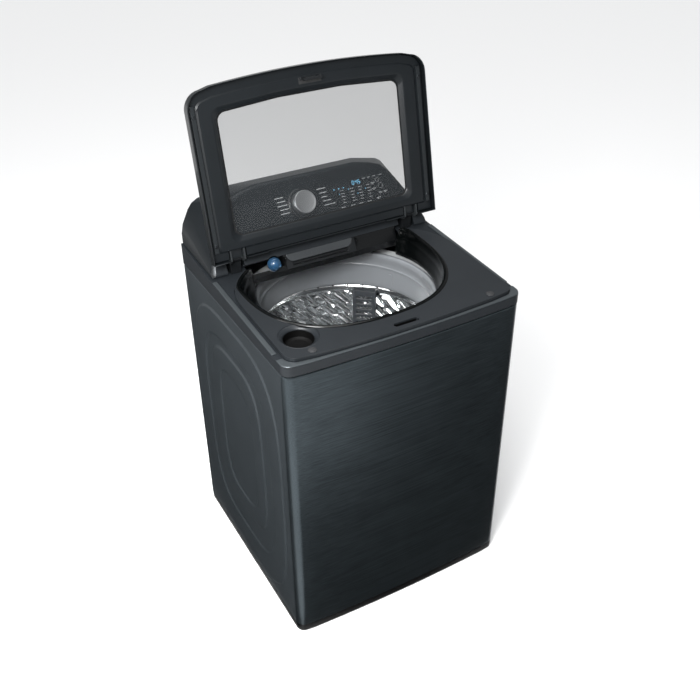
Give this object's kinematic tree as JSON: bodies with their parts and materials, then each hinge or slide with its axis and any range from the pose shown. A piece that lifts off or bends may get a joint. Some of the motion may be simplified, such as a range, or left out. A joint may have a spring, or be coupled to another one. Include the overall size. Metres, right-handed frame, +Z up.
{
  "type": "top load washing machine",
  "caption": "Top load washing machine: bowed sheet steel cabinet, sloping deck, glazed lift-up lid, raised console, drawer, suspended tub with direct drive.",
  "frame": {"origin": "on the floor under the middle of the machine's overall box, lid open", "axes": "+Z up, -Y towards the user at the front, +X to the user's right"},
  "size_m": [0.686, 0.7, 1.4432],
  "materials": {
    "brushed_black_steel": "black-tinted stainless with a fine horizontal brushed grain and a clear coat",
    "galvanised_steel": "galvanised sheet steel, matt",
    "black_plinth": "black moulded polypropylene",
    "foot_rubber": "black rubber on a steel stud",
    "zinc_steel": "bright zinc plated steel",
    "charcoal_cover": "charcoal ABS, fine matt texture",
    "satin_rail": "satin charcoal metallic coat",
    "charcoal_deck": "charcoal ABS with a satin metallic coat",
    "black_gloss": "black high gloss ABS",
    "cup_plastic": "dark charcoal polypropylene",
    "lid_skin": "black-tinted brushed sheet with a clear coat",
    "lid_liner": "slate grey ABS, satin",
    "tinted_glass": "tempered glass with a light grey tint",
    "spun_aluminium": "spun and anodised aluminium",
    "white_plastic": "natural white polyamide",
    "circuit_board": "green glass-epoxy board",
    "blue_lens": "translucent blue polycarbonate",
    "tub_plastic": "glass-filled polypropylene, natural grey",
    "cast_alloy": "die-cast aluminium",
    "ring_plastic": "mid grey polypropylene, satin",
    "pulsator_plastic": "grey polypropylene",
    "drum_steel": "bright embossed stainless steel",
    "copper_winding": "enamelled copper on a laminated core",
    "rotor_steel": "pressed steel cup with bonded magnets",
    "hose_rubber": "grey ribbed hose"
  },
  "bodies": {
    "cabinet": {"cabinet_wrapper": "brushed_black_steel", "rear_panel": "galvanised_steel", "base_frame": "black_plinth", "corner_braces": "galvanised_steel", "suspension_rods": "zinc_steel", "suspension_springs": "zinc_steel", "cabinet_screws": "zinc_steel", "power_gland": "foot_rubber", "top_cover": "charcoal_cover", "trim_rails": "satin_rail", "deck_panel": "charcoal_deck", "hopper": "black_gloss", "bleach_cup": "cup_plastic", "deck_bumpers": "foot_rubber", "lid_lock_housing": "black_gloss", "hinge_brackets": "charcoal_cover", "hinge_pins": "zinc_steel", "console_shell": "charcoal_cover", "console_fascia": "charcoal_deck", "knob_ring": "spun_aluminium", "knob_encoder": "circuit_board", "touch_board": "circuit_board", "control_box": "white_plastic", "inlet_valve": "white_plastic", "fill_ducts": "white_plastic", "drawer_housing": "black_gloss", "sump_hose": "foot_rubber", "drain_pump": "black_plinth", "drain_hose": "hose_rubber"},
    "lid": {"lid_frame": "lid_skin", "lid_liner": "lid_liner", "lid_glass": "tinted_glass", "glass_gasket": "foot_rubber", "lid_strike": "lid_liner", "lid_hinge_arms": "zinc_steel", "lid_screws": "lid_liner"},
    "knob": {"knob": "spun_aluminium"},
    "jet_button": {"jet_button": "blue_lens"},
    "drawer": {"detergent_drawer": "black_gloss", "drawer_front": "spun_aluminium"},
    "lock_bolt": {"lock_bolt": "white_plastic"},
    "tub": {"outer_tub": "tub_plastic", "tub_cover": "tub_plastic", "bearing_housing": "cast_alloy", "tub_bearings": "zinc_steel", "stator": "copper_winding"},
    "drum": {"drum_basket": "drum_steel", "balance_ring": "ring_plastic", "drum_hub": "cast_alloy", "spin_shaft": "zinc_steel", "lint_filter": "pulsator_plastic"},
    "coupler": {"clutch_coupler": "white_plastic"},
    "wash_unit": {"pulsator": "pulsator_plastic", "wash_shaft": "zinc_steel", "rotor": "rotor_steel"},
    "impeller": {"pump_impeller": "white_plastic"},
    "foot_front_left": {"foot_front_left": "foot_rubber"},
    "foot_front_right": {"foot_front_right": "foot_rubber"},
    "foot_rear_left": {"foot_rear_left": "foot_rubber"},
    "foot_rear_right": {"foot_rear_right": "foot_rubber"}
  },
  "joints": [
    {"name": "lid_hinge", "type": "hinge", "parent": "cabinet", "child": "lid", "pos_m": [0, 0.09868, 0.98805], "axis": [1, 0, 0], "range_deg": [0, 104.65]},
    {"name": "knob_turn", "type": "hinge", "parent": "cabinet", "child": "knob", "pos_m": [-0.033, 0.16617, 1.06569], "axis": [0, -0.8515, 0.5244], "continuous": true},
    {"name": "jet_press", "type": "slide", "parent": "cabinet", "child": "jet_button", "axis": [0, 0.9989, 0.0462], "range_m": [0, 0.004], "stiffness_N_per_m": 350, "springref_m": -0.004},
    {"name": "drawer_slide", "type": "slide", "parent": "cabinet", "child": "drawer", "axis": [0, -0.9989, -0.0462], "range_m": [0, 0.11]},
    {"name": "lock_slide", "type": "slide", "parent": "cabinet", "child": "lock_bolt", "axis": [0, -0.9989, -0.0462], "range_m": [0, 0.008]},
    {"name": "tub_bounce", "type": "slide", "parent": "cabinet", "child": "tub", "axis": [0, 0, 1], "range_m": [-0.025, 0.005], "stiffness_N_per_m": 12000, "springref_m": 0.0414, "deforming": ["suspension_springs", "sump_hose"]},
    {"name": "drum_spin", "type": "hinge", "parent": "tub", "child": "drum", "pos_m": [0, -0.017, 0.4], "axis": [0, 0, 1], "continuous": true},
    {"name": "coupler_shift", "type": "slide", "parent": "drum", "child": "coupler", "axis": [0, 0, 1], "range_m": [0, 0.006]},
    {"name": "wash_spin", "type": "hinge", "parent": "tub", "child": "wash_unit", "pos_m": [0, -0.017, 0.2], "axis": [0, 0, 1], "continuous": true},
    {"name": "pump_spin", "type": "hinge", "parent": "cabinet", "child": "impeller", "pos_m": [0.15, 0.11, 0.06], "axis": [0, 0, 1], "continuous": true},
    {"name": "level_front_left", "type": "slide", "parent": "cabinet", "child": "foot_front_left", "axis": [0, 0, -1], "range_m": [0, 0.015]},
    {"name": "level_front_right", "type": "slide", "parent": "cabinet", "child": "foot_front_right", "axis": [0, 0, -1], "range_m": [0, 0.015]},
    {"name": "level_rear_left", "type": "slide", "parent": "cabinet", "child": "foot_rear_left", "axis": [0, 0, -1], "range_m": [0, 0.015]},
    {"name": "level_rear_right", "type": "slide", "parent": "cabinet", "child": "foot_rear_right", "axis": [0, 0, -1], "range_m": [0, 0.015]}
  ]
}
